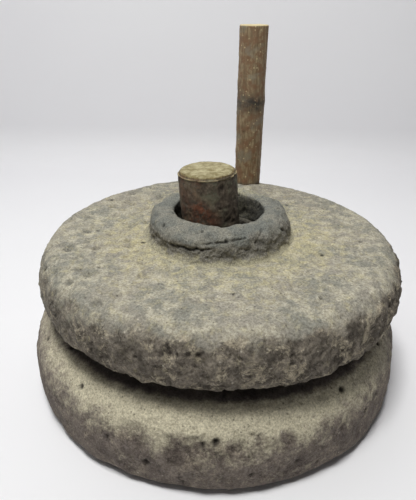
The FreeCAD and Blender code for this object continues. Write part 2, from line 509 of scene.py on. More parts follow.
# --- materials ---
def stone_material(name, tones, grain_mm, rough_tones, dust_and_light, patchiness):
    """Weathered stone. It darkens in cavities and under painted shade, shows broken grain where it
    is rough and lies under more or less patchy dust, which on the lower stone is also painted
    light, where the masks say so."""
    material, tree = new_material(name)
    at = place(tree)
    broad = cloud(tree, at, 50, 3.0, 0.6)
    middle = cloud(tree, at, 13, 4.0, 0.62, 0.3)
    base = mix(tree, span(tree, broad, 0.38, 0.62), tones[0], tones[1])
    base = mix(tree, span(tree, middle, 0.42, 0.66), base, tones[2])
    # Broken faces are browner, with light grains standing up between dark hollows.
    rough = mask(tree, "rough")
    lumps = cloud(tree, at, 12.0, 8.0, 0.72, 0.3)
    broken = mix(tree, span(tree, lumps, 0.40, 0.60), rough_tones[0], rough_tones[1])
    light_grain = span(tree, cloud(tree, at, 19.0, 9.0, 0.82, 0.4), 0.51, 0.59)
    broken = mix(tree, times(tree, light_grain, 0.85), broken, rough_tones[2])
    crevice = span(tree, cloud(tree, at, 13.0, 6.0, 0.75, 0.6), 0.36, 0.44, 0.8, 0.0)
    broken = mix(tree, crevice, broken, colour(64, 58, 53))
    edge = cloud(tree, at, 9.0, 6.0, 0.8)
    share = calc(tree, "ADD", rough, times(tree, edge, 1.4))
    base = mix(tree, span(tree, share, 0.75, 1.5), base, broken)
    # Dust, and painted light on the lower stone, lies in fine patches.
    patches = cloud(tree, at, 8, 6.0, 0.72, 0.4)
    base = dusted_and_lit(tree, base, patches, patchiness, 0.1, dust_and_light)
    # Grain of the stone: mottling, then dark and light minerals.
    grain = cloud(tree, at, grain_mm, 5.0, 0.78)
    shade = mix(tree, span(tree, grain, 0.34, 0.66), colour(190, 188, 185), colour(255, 255, 255))
    base = mix(tree, 1.0, base, shade, "MULTIPLY")
    clots = span(tree, cloud(tree, at, grain_mm * 2.6, 5.0, 0.8), 0.54, 0.68)
    base = mix(tree, times(tree, clots, 0.4), base, rough_tones[0])
    seeds = cells(tree, at, grain_mm * 1.6, "Color")
    spot = span(tree, cells(tree, at, grain_mm * 1.6), 0.18, 0.36, 1.0, 0.0)
    dark = times(tree, spot, span(tree, channel(tree, seeds), 0.86, 0.9))
    base = mix(tree, times(tree, dark, 0.55), base, colour(66, 60, 56))
    light = times(tree, spot, span(tree, channel(tree, seeds, "Green"), 0.975, 0.985))
    base = mix(tree, times(tree, light, 0.5), base, colour(222, 214, 196))
    # Cavities darken towards this colour, and so does painted shade.
    base = mix(tree, mask(tree, "cavity_and_shade"), base, colour(34, 30, 28))
    roughness = span(tree, grain, 0.2, 0.8, 0.98, 0.84)
    relief = times(tree, lumps, span(tree, rough, 0.0, 0.8, 0.15, 1.0))
    pocks = span(tree, cells(tree, at, 6.5), 0.0, 0.5)
    bumps = [(relief, 1.0, 3.6), (pocks, 0.4, 1.2), (middle, 0.9, 2.6), (grain, 0.8, 0.8)]
    return finish_material(material, base, roughness, bumps, 0.2)


def clay_material():
    """Dried clay: smooth blue-grey where a hand has rubbed it and coarse where it is torn."""
    material, tree = new_material("collar_clay")
    at = place(tree)
    broad = cloud(tree, at, 22, 4.0, 0.65)
    base = mix(tree, span(tree, broad, 0.36, 0.64), colour(136, 138, 131), colour(164, 161, 148))
    coarse = mask(tree, "rough")
    lumps = cloud(tree, at, 3.5, 6.0, 0.75)
    torn = mix(tree, span(tree, lumps, 0.36, 0.64), colour(134, 131, 122), colour(174, 169, 156))
    ragged = calc(tree, "ADD", coarse, times(tree, cloud(tree, at, 6, 5.0, 0.75), 0.8))
    base = mix(tree, span(tree, ragged, 0.55, 1.15), base, torn)
    patches = cloud(tree, at, 6, 6.0, 0.78)
    base = dusted_and_lit(tree, base, patches, 2.8, 0.2, colour(196, 189, 158))
    grain = cloud(tree, at, 1.1, 5.0, 0.75)
    shade = mix(tree, span(tree, grain, 0.32, 0.68), colour(166, 166, 166), colour(255, 255, 255))
    base = mix(tree, 1.0, base, shade, "MULTIPLY")
    # Cracks and nicks darken here, and the eye's inside wall takes painted shade.
    base = mix(tree, mask(tree, "cavity_and_shade"), base, colour(26, 24, 23))
    roughness = span(tree, grain, 0.2, 0.8, 0.98, 0.82)
    bumps = [(cloud(tree, at, 9, 5.0, 0.7), 0.9, 2.6), (lumps, 0.6, 1.2), (grain, 0.6, 0.5)]
    return finish_material(material, base, roughness, bumps, 0.2)


def bark_material():
    """Thin dark bark with reddish and grey-green patches, over a pale sawn end."""
    material, tree = new_material("bark_peg")
    at = place(tree)
    fibres = cloud(tree, stretched(tree, at, (1, 1, 0.45)), 2.6, 5.0, 0.72)
    blotches = cloud(tree, at, 10, 6.0, 0.72, 0.3)
    base = mix(tree, span(tree, blotches, 0.40, 0.62), colour(110, 99, 86), colour(152, 138, 118))
    base = mix(tree, span(tree, fibres, 0.30, 0.68, 0.0, 0.6), colour(74, 66, 57), base)
    lichen = span(tree, cloud(tree, at, 12, 5.0, 0.68), 0.48, 0.64)
    base = mix(tree, times(tree, lichen, 0.7), base, colour(118, 120, 100))
    ruddy = span(tree, cloud(tree, at, 6, 6.0, 0.75), 0.40, 0.60)
    red = times(tree, mask(tree, "red"), ruddy)
    base = mix(tree, times(tree, red, 0.8), base, colour(138, 84, 60))
    fleck = span(tree, cloud(tree, at, 1.6, 4.0, 0.7), 0.63, 0.70, 0.0, 0.7)
    base = mix(tree, fleck, base, colour(172, 160, 134))
    # The sawn end: weathered wood with saw scratches, a darker edge and a pale worn rim.
    grey = span(tree, cloud(tree, at, 7, 6.0, 0.75), 0.36, 0.64)
    sawn = mix(tree, grey, colour(126, 116, 80), colour(180, 172, 138))
    scratches = cloud(tree, stretched(tree, at, (0.2, 1, 1)), 1.8, 4.0, 0.75)
    sawn = mix(tree, span(tree, scratches, 0.48, 0.7, 0.0, 0.6), sawn, colour(120, 104, 70))
    cut_edge = mix(tree, span(tree, fibres, 0.35, 0.65), colour(86, 72, 48), colour(132, 116, 78))
    base = mix(tree, mask(tree, "end"), base, cut_edge)
    base = mix(tree, mask(tree, "sawn"), base, sawn)
    base = mix(tree, mask(tree, "rim"), base, colour(176, 160, 120))
    base = mix(tree, mask(tree, "cavity_and_shade"), base, colour(24, 20, 17))
    roughness = span(tree, fibres, 0.2, 0.8, 0.92, 0.7)
    bumps = [(blotches, 0.4, 1.4), (fibres, 0.6, 0.9), (cloud(tree, at, 0.9, 3.0, 0.7), 0.3, 0.25)]
    return finish_material(material, base, roughness, bumps, 0.25)


def handle_material():
    """A bare stick browned by hands, with pale specks, a dark stain, a band of painted shade at its
    foot and a pale cut top.
    """
    material, tree = new_material("handle_wood")
    at = place(tree)
    fibres = cloud(tree, stretched(tree, at, (1, 1, 0.12)), 2.0, 4.0, 0.65)
    base = mix(tree, span(tree, fibres, 0.34, 0.68), colour(120, 101, 76), colour(164, 146, 114))
    mottles = cloud(tree, at, 8, 5.0, 0.68, 0.3)
    base = mix(tree, span(tree, mottles, 0.42, 0.62), base, colour(132, 102, 76))
    grey = span(tree, cloud(tree, at, 17, 3.0, 0.6), 0.5, 0.66, 0.0, 0.6)
    base = mix(tree, grey, base, colour(138, 132, 114))
    blotchy = span(tree, cloud(tree, at, 6, 4.0, 0.6), 0.3, 0.6, 0.4, 1.0)
    # Dark stains, and the painted shade at the stick's foot.
    stain_and_shade = times(tree, mask(tree, "stain_and_shade"), blotchy)
    base = mix(tree, stain_and_shade, base, colour(60, 58, 55))
    chosen = span(tree, channel(tree, cells(tree, at, 3.4, "Color")), 0.72, 0.76)
    speck = times(tree, span(tree, cells(tree, at, 3.4), 0.16, 0.27, 1.0, 0.0), chosen)
    base = mix(tree, times(tree, speck, 0.8), base, colour(206, 188, 146))
    sawn = mix(tree, fibres, colour(178, 160, 116), colour(226, 212, 168))
    base = mix(tree, mask(tree, "end"), base, sawn)
    base = mix(tree, mask(tree, "cavity_and_shade"), base, colour(40, 32, 26))
    roughness = span(tree, fibres, 0.2, 0.8, 0.8, 0.58)
    bumps = [(fibres, 0.5, 0.6), (mottles, 0.3, 0.6), (cloud(tree, at, 0.8, 3.0, 0.7), 0.25, 0.2)]
    return finish_material(material, base, roughness, bumps, 0.35)


def split_wood_material():
    """Split wood with its grain along Y, rubbed grey with meal."""
    material, tree = new_material("split_wood")
    at = place(tree)
    fibres = cloud(tree, stretched(tree, at, (1, 0.08, 1)), 2.4, 4.0, 0.6, 0.6)
    base = mix(tree, span(tree, fibres, 0.34, 0.68), colour(52, 42, 31), colour(92, 77, 57))
    worn = span(tree, cloud(tree, at, 15, 4.0, 0.65), 0.45, 0.66, 0.0, 0.7)
    base = mix(tree, worn, base, colour(84, 79, 68))
    streaks = cloud(tree, stretched(tree, at, (1, 0.1, 1)), 6.0, 3.0, 0.6)
    base = mix(tree, span(tree, streaks, 0.6, 0.7, 0.0, 0.6), base, colour(66, 50, 36))
    roughness = span(tree, fibres, 0.2, 0.8, 0.85, 0.65)
    return finish_material(material, base, roughness, [(fibres, 0.6, 0.7), (worn, 0.2, 0.4)], 0.3)


STONE_UPPER = stone_material(
    "upper_stone",
    tones=(colour(155, 154, 143), colour(169, 164, 151), colour(202, 196, 176)),
    grain_mm=1.9,
    rough_tones=(colour(108, 101, 91), colour(156, 147, 133), colour(216, 204, 178)),
    dust_and_light=colour(214, 204, 160),
    patchiness=2.5,
)
STONE_LOWER = stone_material(
    "lower_stone",
    tones=(colour(132, 122, 116), colour(148, 138, 129), colour(168, 157, 145)),
    grain_mm=1.7,
    rough_tones=(colour(104, 94, 87), colour(138, 127, 117), colour(178, 166, 148)),
    # A very light dust, which also serves as painted light on the front band.
    dust_and_light=colour(238, 230, 200),
    patchiness=2.0,
)
CLAY = clay_material()
BARK = bark_material()
HANDLE_WOOD = handle_material()
SPLIT_WOOD = split_wood_material()


# --- the stones ---
DARKEST = 0.92  # a stone's cavities and painted shade are never quite black


def pecked_face(p, radius, peck_seed, line_seed):
    """The pecks of a grinding face, from 0 to 1, and how far the whole face is worn back."""
    pecks = pits(p, 5.5, 0.45, peck_seed, 0.3)
    worn = -0.5 * pecks - 0.12 * (1 + np.sin(radius * 0.8 + 1.5 * noise(p, 40, line_seed)))
    return pecks, worn - 0.1


def bedstone_outline():
    """The lower stone's section, from under its foot round to the floor of its socket."""
    foot_w, foot_h = BED_FOOT
    width, height = BED_SHOULDER
    face = BED_RADIUS - width
    foot = rounding((BED_RADIUS - foot_w, foot_h), foot_w, foot_h, -90, 0)
    shoulder = rounding((face, BED_TOP - height), width, height, 0, 90)
    mouth = (SOCKET_RADIUS + 2.0, BED_TOP)
    neck = (SOCKET_RADIUS, BED_TOP - 3.0)
    return join_runs(
        ([(40, 0), foot[0]], 25.0),
        (foot, 2.0),
        ([foot[-1], shoulder[0]], 1.7),
        (shoulder, 1.5),
        ([shoulder[-1], mouth], 2.2),
        ([mouth, (SOCKET_RADIUS + 0.4, BED_TOP - 1.2), neck], 1.2),
        ([neck, (SOCKET_RADIUS, SOCKET_FLOOR)], 5.0),
    )


def lean_shift(z):
    """How far the leaning peg's axis is from the turning axis at a height."""
    return -(z - PEG_PIVOT_Z) * math.tan(PEG_LEAN)


def build_bedstone():
    outline = bedstone_outline()
    inner = outline[:, 0] < SOCKET_RADIUS + 3.0
    socket = inner & (outline[:, 1] > 1.0)
    centre_x = np.where(socket, lean_shift(outline[:, 1]), 0.0)
    shape, p, n = turned_points(outline, BED_SEGMENTS, centre_x, False)
    radius, angle = polar(p)
    z = p[:, 2]

    face_in, face_out = BED_FACE
    face = ramp_up(radius, face_out, face_in) * ramp_up(z, 70, 76)
    ground = ramp_up(z, 6.0, 0.5)
    in_socket = (radius < SOCKET_RADIUS + 4.5) * ramp_up(z, 80.5, 79.0)
    side = (1 - face) * (1 - ground) * (1 - in_socket)

    # The hand-shaped outline: long flats and, between them, slight swellings.
    swell = 0.9 * fractal(on_circle(angle, z / 150), 0.8, 3, 31) + 0.9 * fractal(p, 21, 2, 32) - 0.2
    swell = swell - 2.6 * toward(angle, -26, 20) + 2.5 * toward(angle, -92, 36) * bell(z, 26, 16)
    # The skin: rubbed smooth, with shallow hollows, pits, chips and faint turned lines.
    skin = 0.9 * fractal(p, 34, 3, 3) + 0.35 * fractal(p, 6, 3, 9)
    lines = 0.16 * np.sin(z * 1.9 + 2.5 * noise(p, 30, 4)) * ramp_up(noise(p, 60, 5), -0.3, 0.3)
    small_pits = pits(p, 6.5, 0.05, 41, 0.25)
    large_pits = pits(p, 8.0, 0.02, 47, 0.2)
    chip_belt = toward(angle, -93, 24) * bell(z, 50, 13)
    chip_zone = ramp_up(0.45 * fractal(p, 24, 4, 77) + 0.75 * chip_belt, 0.25, 0.65)
    chips = chip_zone * (0.9 + 1.1 * facets(p, 8.0, 61) + 0.6 * ridged(p, 6, 3, 63))
    depth = skin + lines - 2.0 * small_pits - 2.6 * large_pits - chips
    # The grinding face only ever loses stone, by pecking and wear.
    pecks, worn = pecked_face(p, radius, 83, 8)
    move = side * hold_in(depth, ramp_up(radius, face_in, 156)) + face * worn
    p = p + n * move[:, None]
    p = p + on_circle(angle) * (swell * ramp_up(radius, 120, 175))[:, None]
    p[:, 2] = np.maximum(p[:, 2], 0.0)

    # Painted shade: under the upper stone the shoulder and the face's edge are darkened as if in
    # its shadow.
    # It reaches farther out on the right.
    open_edge = radius + 1.5 * noise(p, 9, 59) - 5.0 * np.clip(np.cos(angle), 0, 1)
    open_air = ramp_up(open_edge, *BED_OPEN)
    painted_gap_shade = side * (1 - open_air) * (0.76 + 0.12 * noise(p, 12, 60))
    # The painted shade also spreads over the grinding face, darkest at its outer edge.
    painted_gap_shade = painted_gap_shade + 0.5 * face * ramp_up(radius + 4 * noise(p, 25, 62), 70, 150)
    pitting = np.clip(1.3 * small_pits + 1.2 * large_pits, 0, 1)
    cavity_and_shade = side * pitting + 0.35 * face * pecks + painted_gap_shade
    rough = np.clip(side * (0.35 * chip_zone + 0.45 * ramp_up(n[:, 2], 0.7, 0.2)), 0, 1)
    # Dust and painted light: up-facing parts take more dust and the front far more, so the front of
    # the shoulder is lightened as if lit.
    lit = ramp_up(n[:, 2] + 0.14 * fractal(p, 16, 4, 58), -0.15, 0.80)
    dust_and_front_light = (0.45 + 0.98 * toward(angle, -88, 50)) * lit - 0.15 * chip_zone
    dust_and_light_cover = side * open_air * np.clip(dust_and_front_light, 0, 1.4) + 0.25 * face
    masks = {"cavity_and_shade": np.clip(cavity_and_shade, 0, DARKEST), "rough": rough, "dust_and_light": dust_and_light_cover}
    return make_piece("bedstone_body", p, shape, False, STONE_LOWER,
                      "base", ["bedstone"], masks)


def runner_outline():
    """The upper stone's closed section, from the throat round the rim and down the eye."""
    face_edge = RUNNER_RADIUS - UNDERCUT_WIDTH
    shoulder_edge = RUNNER_RADIUS - SHOULDER_WIDTH
    undercut = rounding((face_edge, RIM_Z), UNDERCUT_WIDTH, RIM_Z - RUNNER_BOTTOM, -90, 0)
    shoulder = rounding((shoulder_edge, RIM_Z), SHOULDER_WIDTH, SHOULDER_Z - RIM_Z, 0, 90)
    throat_corner = (THROAT_RADIUS, RUNNER_BOTTOM + SWALLOW_RISE)
    seat_edge = (COLLAR_FOOT - 6, RUNNER_TOP)
    taper_top = (EYE_RADIUS, THROAT_TOP + THROAT_TAPER)
    return join_runs(
        ([(THROAT_RADIUS, THROAT_TOP), throat_corner], 3.0),
        ([throat_corner, (SWALLOW_RADIUS, RUNNER_BOTTOM)], 2.6),
        ([(SWALLOW_RADIUS, RUNNER_BOTTOM), undercut[0]], 2.4),
        (undercut, 1.7),
        (shoulder, 1.5),
        ([shoulder[-1], seat_edge], 1.6),
        ([seat_edge, (EYE_RADIUS, RUNNER_TOP)], 9.0),
        ([(EYE_RADIUS, RUNNER_TOP), taper_top], 5.0),
        ([taper_top, (THROAT_RADIUS, THROAT_TOP + 0.5)], 4.0),
    )


def build_runner():
    outline = runner_outline()
    inner = ramp_up(outline[:, 0], THROAT_RADIUS + 2, THROAT_RADIUS + 30)
    centre_x = EYE_X + (RUNNER_X - EYE_X) * inner
    shape, p, n = turned_points(outline, RUNNER_SEGMENTS, centre_x, True)
    radius, angle = polar(p, RUNNER_X)
    z = p[:, 2]

    under = ramp_up(n[:, 2], -0.5, -0.9) * ramp_up(radius, 141, 132)
    bore = ramp_up(radius, COLLAR_FOOT - 1, COLLAR_FOOT - 4)
    bore = bore * ramp_up(z, RUNNER_BOTTOM + 1, RUNNER_BOTTOM + 5)
    ragged_edge = 0.22 * fractal(p, 22, 4, 15)
    # The broken rim is smoother at the left, and its colour there is lighter: painted light on the
    # side the light comes from.
    rim = np.clip(1 - ramp_up(n[:, 2] + ragged_edge, 0.22, 0.98), 0, 1) * (1 - under) * (1 - bore)
    rim = rim * (1 - 0.5 * toward(angle, -165, 45))
    open_top = np.clip(1 - rim - under - bore, 0, 1)

    ring = on_circle(angle)
    swell = 1.3 * fractal(ring, 0.7, 3, 23) + 1.2 * toward(angle, 108, 26)
    rise = 1.5 * toward(angle, 112, 32) * ramp_up(radius, 95, 140)

    lumps = fractal(p, 24, 4, 12)
    craggy = ridged(p, 11, 3, 17)
    broken = facets(p, 9.0, 29)
    grit = fractal(p, 4.0, 2, 37)
    wide_pits = pits(p, 15.0, 0.35, 51, 0.3)
    deep_pits = pits(p, 4.8, 0.24, 53, 0.3)
    rough_shape = (2.0 * lumps + 1.4 * craggy + 1.3 * broken + 0.5 * grit - 0.4
                   - 2.4 * wide_pits - 2.6 * deep_pits)
    dimple_zone = ramp_up(0.6 * noise(p, 70, 6) + toward(angle, 160, 80), 0.15, 0.8)
    dimples = pits(p, 11.0, 0.85, 71, 0.5)
    vents = pits(p, 7.0, 0.022, 73, 0.2)
    smooth_shape = (0.7 * fractal(p, 26, 3, 19) + 0.3 * fractal(p, 6, 2, 25)
                    - (1.3 + 2.0 * dimple_zone) * dimples + 0.7 - 2.5 * vents)
    pecks, worn = pecked_face(p, radius, 91, 28)

    clear = np.clip(ramp_up(radius, 140, 158) + ramp_up(z, 112, 120), 0, 1)
    rough_shape = hold_in(rough_shape, clear)
    # Stone is left standing around the handle's hole, which comes close to the edge.
    hold = bell(np.hypot(p[:, 0] - HANDLE_X, p[:, 1] - HANDLE_Y), 0, 26)
    rough_shape = rough_shape * (1 - 0.85 * hold) + 3.5 * hold * clear
    seat = ramp_up(radius, COLLAR_FOOT - 2, COLLAR_FOOT + 8)
    move = rim * rough_shape + open_top * seat * smooth_shape + under * worn
    p = p + n * move[:, None]
    p = p + ring * (swell * ramp_up(radius, 130, 170))[:, None]
    # The top is a little higher in front of the handle.
    mound = 2.6 * bell(np.hypot(p[:, 0] - HANDLE_X, p[:, 1] - HANDLE_Y + 20), 0, 17)
    p[:, 2] += (rise + mound) * ramp_up(z, 112, 134)

    pitting = 0.25 * wide_pits**1.5 + 0.9 * deep_pits + 0.45 * ramp_up(-craggy, 0.2, 0.7)
    marks = np.clip(2.5 * vents, 0, 1) + (0.08 + 0.2 * dimple_zone) * dimples
    cavity_and_shade = rim * np.clip(pitting, 0, 1)
    # Painted shade darkens the bore of the eye.
    cavity_and_shade = cavity_and_shade + open_top * marks + 0.35 * under * pecks + 0.75 * bore
    cavity_and_shade = cavity_and_shade + 0.08 * open_top * ramp_up(p[:, 1], 20, 120)
    near_collar = bell(radius, COLLAR_FOOT + 8, 42)
    sides = toward(angle, -20, 55) + toward(angle, -150, 40)
    dust_and_light_cover = open_top * np.clip(0.12 + near_collar * (0.25 + 0.18 * sides), 0, 1)
    masks = {"cavity_and_shade": np.clip(cavity_and_shade, 0, DARKEST), "rough": rim, "dust_and_light": dust_and_light_cover}
    piece = make_piece("runner_body", p, shape, True, STONE_UPPER,
                       "runner", ["runner_stone"], masks)
    hole = tube("handle_hole", (HANDLE_X, HANDLE_Y), HANDLE_SOCKET_RADIUS,
                HANDLE_SOCKET_FLOOR, RUNNER_TOP + 20)
    slot_low = (-RYND_HALF_WIDTH - RYND_PLAY, RYND_LOW[1] - RYND_PLAY, RUNNER_BOTTOM - 5)
    slot_high = (RYND_HALF_WIDTH + RYND_PLAY, RYND_HIGH[1] + RYND_PLAY, RYND_HIGH[2] + RYND_PLAY)
    carve(piece, hole, block("rynd_slot", slot_low, slot_high))
    return piece


# --- the clay collar ---
def collar_outline():
    """The collar's closed section: a flat foot, a flare, an outer wall, a round coil and a lip."""
    foot_z = RUNNER_TOP
    sole_z = foot_z - 0.2
    wall = (68.6, foot_z + 3.5)
    coil_edge = (67.4, foot_z + 12.5)
    lip_z = foot_z + 24.0
    crest_x = 53.0
    flare = rounding((COLLAR_FOOT, wall[1]), COLLAR_FOOT - wall[0], wall[1] - foot_z, -90, -180)
    coil = rounding((crest_x, coil_edge[1]), coil_edge[0] - crest_x,
                    COLLAR_CREST_Z - coil_edge[1], 0, 90, 2.0)
    lip = rounding((crest_x, lip_z), crest_x - EYE_RADIUS - 0.6, COLLAR_CREST_Z - lip_z, 90, 180)
    return join_runs(
        ([(EYE_RADIUS, sole_z), (COLLAR_FOOT, sole_z)], 6.0),
        ([(COLLAR_FOOT, sole_z), (COLLAR_FOOT, foot_z)], 0.3),
        (flare, 0.6),
        ([wall, coil_edge], 0.55),
        (coil, 0.65),
        (lip, 0.7),
        ([lip[-1], (EYE_RADIUS + 0.1, foot_z + 1.0)], 1.2),
    )


def on_collar(degrees, radius, height):
    """A point on the collar, at a height above its foot."""
    turn = math.radians(degrees)
    return (EYE_X + radius * math.cos(turn), radius * math.sin(turn), RUNNER_TOP + height)


# Torn places: points as (degrees, radius, height), then the width, the depth and the seed.
# The first two are the seams under the coil's front, and the rest are smaller tears.
COLLAR_CRACKS = (
    (((-138, 70, 13), (-124, 69, 11), (-112, 69, 12), (-101, 69, 13), (-92, 69, 13.5)),
     1.5, 4.5, 3),
    (((-102, 67, 17.5), (-92, 66, 19.5), (-80, 65.5, 20.5), (-66, 64.5, 22)), 0.9, 1.7, 6),
    (((-62, 67, 17), (-53, 67, 14)), 2.6, 1.6, 4),
    (((-158, 70, 10), (-148, 70.5, 5), (-138, 73, 0.5)), 1.4, 3.0, 5),
    (((-36, 66, 22), (-24, 68, 14), (-15, 70, 3)), 1.1, 2.0, 7),
    (((-14, 52, 26), (-2, 57, 26), (9, 54, 26)), 0.9, 1.6, 9),
)


def collar_cracks(p):
    """Depth of all the torn places together."""
    depth = np.zeros(len(p))
    for path, width, deepest, seed in COLLAR_CRACKS:
        depth += crack(p, [on_collar(*point) for point in path], width, deepest, seed)
    return depth


def build_collar():
    outline = collar_outline()
    shape, p, n = turned_points(outline, COLLAR_SEGMENTS, EYE_X, True)
    radius, angle = polar(p, EYE_X)
    height = p[:, 2] - RUNNER_TOP

    above = ramp_up(height, 0.2, 3.0)
    outer = ramp_up(radius, 57, 66)
    # Torn and coarse low on the outer wall, and higher up in patches, most at the front right.
    wall = outer * ramp_up(height, 19 - 2 * np.cos(angle), 12)
    patches = ramp_up(noise(p, 16, 21) + 0.6 * toward(angle, -38, 34), 0.1, 0.6)
    torn = np.clip(wall + 0.7 * outer * patches, 0, 1)
    coarse = 0.35 * ridged(p, 8, 3, 33) + 0.3 * fractal(p, 2.4, 2, 87) + 0.15 * facets(p, 5.0, 35)
    smooth = 1.7 * fractal(p, 24, 3, 2) + 1.0 * fractal(p, 8, 3, 8) + 0.25 * noise(p, 2.0, 18)
    cracks = collar_cracks(p)
    overhang = 2.2 * toward(angle, -116, 24) * bell(height, 16.0, 5.0) * outer
    sunk = -0.5 * toward(angle, -84, 30) * bell(height, 17.0, 4.0) * outer
    nicks = pits(p, 5.0, 0.10, 13, 0.15)
    move = above * (smooth + torn * coarse + overhang + sunk - 1.3 * nicks) - cracks
    move = np.where((radius < EYE_RADIUS + 4) & (move > 0), 0.5 * move, move)
    p = p + n * move[:, None]
    # The crest sags unevenly, and the foot is spread out over the stone.
    ring = on_circle(angle)
    sag = 0.9 * fractal(ring, 0.8, 3, 14)
    p[:, 2] += sag * ramp_up(height, 8, 22)
    skirt = 1.0 + toward(angle, -140, 40)
    spread = ramp_up(height, 9, 0)**2 * ramp_up(radius, 66, 69)
    p = p + ring * (spread * (2.0 * fractal(ring, 0.25, 3, 64) + 1.8 * skirt))[:, None]
    foot = ramp_up(height + 2.5 * fractal(p, 9, 3, 74), 9.0, 0.5) * outer
    back = ramp_up(p[:, 1], 10, 60)
    # Painted shade on the inside wall of the eye.
    inside = 0.6 * ramp_up(radius, EYE_RADIUS + 6, EYE_RADIUS + 2) * ramp_up(height, 26, 20)
    masks = {
        "cavity_and_shade": np.clip(0.4 * cracks + 0.8 * nicks + inside, 0, 0.95),
        "rough": torn,
        "dust_and_light": np.clip(0.8 * foot + 0.1 + 0.85 * back, 0, 1),
    }
    return make_piece("collar_coil", p, shape, True, CLAY,
                      "runner", ["eye_collar"], masks)


# --- the wooden pieces ---
def build_peg():
    inset = PEG_RADIUS - 0.1
    foot = (PEG_RADIUS - 0.5, PEG_FOOT)
    neck = (inset, 60)
    bark_end = (PEG_RADIUS, PEG_EDGE)
    sawn_edge = (PEG_RADIUS - 3.2, PEG_TOP)
    outline = join_runs(
        ([(8, PEG_FOOT), foot], 6.0),
        ([foot, (inset, PEG_FOOT + 1), neck], 3.0),
        ([neck, bark_end], 0.9),
        ([bark_end, (PEG_RADIUS - 0.9, PEG_EDGE + 0.4), (PEG_RADIUS - 1.5, PEG_TOP - 1.0),
          sawn_edge], 0.5),
        ([sawn_edge, (2.0, PEG_TOP)], 1.6),
    )
    shape, p, n = turned_points(outline, PEG_SEGMENTS, 0.0, False)
    radius, angle = polar(p)
    z = p[:, 2]
    bark = ramp_up(np.hypot(n[:, 0], n[:, 1]), 0.5, 0.8)
    bark = bark * ramp_up(radius, PEG_RADIUS - 0.7, PEG_RADIUS - 0.3)
    end = ramp_up(n[:, 2], 0.1, 0.6) * ramp_up(z, PEG_EDGE, PEG_TOP - 1.6)
    fibre = p * np.array([1, 1, 0.2])
    skin = (0.5 * fractal(fibre, 9, 3, 2) + 0.3 * fractal(p, 4, 3, 6)
            + 0.6 * noise(p * [1, 1, 0.4], 40, 8))
    loss = pits(p, 9.0, 0.2, 12, 0.3)
    move = bark * (skin - 0.9 * loss)
    move = move + end * (0.35 * fractal(p, 12, 3, 4) + 0.12 * fractal(p, 3, 2, 5))
    # Below the eye the peg stays inside its CAD outline, clear of the rynd.
    move = hold_in(move, ramp_up(z, 15, 30))
    ragged = bell(z, PEG_EDGE, 1.6) * ramp_up(radius, PEG_RADIUS - 1.6, PEG_RADIUS - 0.2)
    taper = 0.5 * ramp_up(z, 70, 118) * ramp_up(radius, 20, 26)
    move = move + ragged * 0.7 * fractal(p, 5, 3, 10) - taper
    p = p + n * move[:, None]
    rim = bell(z + 0.6 * fractal(p, 7, 2, 16), PEG_EDGE - 0.2, 0.5)
    rim = rim * ramp_up(radius, PEG_RADIUS - 1.2, PEG_RADIUS - 0.4)
    red = (toward(angle, -100, 26) * ramp_up(z, 104, 82) + 0.45 * toward(angle, -150, 22)
           + 0.4 * toward(angle, -112, 12))
    sawn = ramp_up(radius + 1.3 * fractal(p, 9, 3, 27), PEG_RADIUS - 1.9, PEG_RADIUS - 3.1) * end
    under_rim = bell(z, PEG_EDGE - 1.4, 1.0)
    masks = {
        "end": end,
        "sawn": sawn,
        "rim": rim,
        "red": np.clip(red, 0, 1),
        "cavity_and_shade": np.clip(0.5 * loss * bark + 0.55 * bark * under_rim, 0, 0.8),
    }
    # The saw cut crosses the peg at a slant.
    slant = math.tan(PEG_TOP_TILT - PEG_LEAN)
    p[:, 2] += slant * p[:, 0] * ramp_up(z, PEG_TOP - 22, PEG_EDGE)
    cos, sin = math.cos(-PEG_LEAN), math.sin(-PEG_LEAN)
    leaning_x = cos * p[:, 0] + sin * p[:, 2]
    leaning_z = -sin * p[:, 0] + cos * p[:, 2] + PEG_PIVOT_Z
    leaning = np.stack([leaning_x, p[:, 1], leaning_z], axis=1)
    return make_piece("peg_branch", leaning, shape, False, BARK,
                      "base", ["pivot_peg"], masks)


# Each knot's rise, height and reach up and down, then its direction and width in degrees.
HANDLE_KNOTS = ((0.7, 243, 7, -20, 55), (0.8, 183, 6, 190, 50), (0.6, 262, 6, 160, 50))


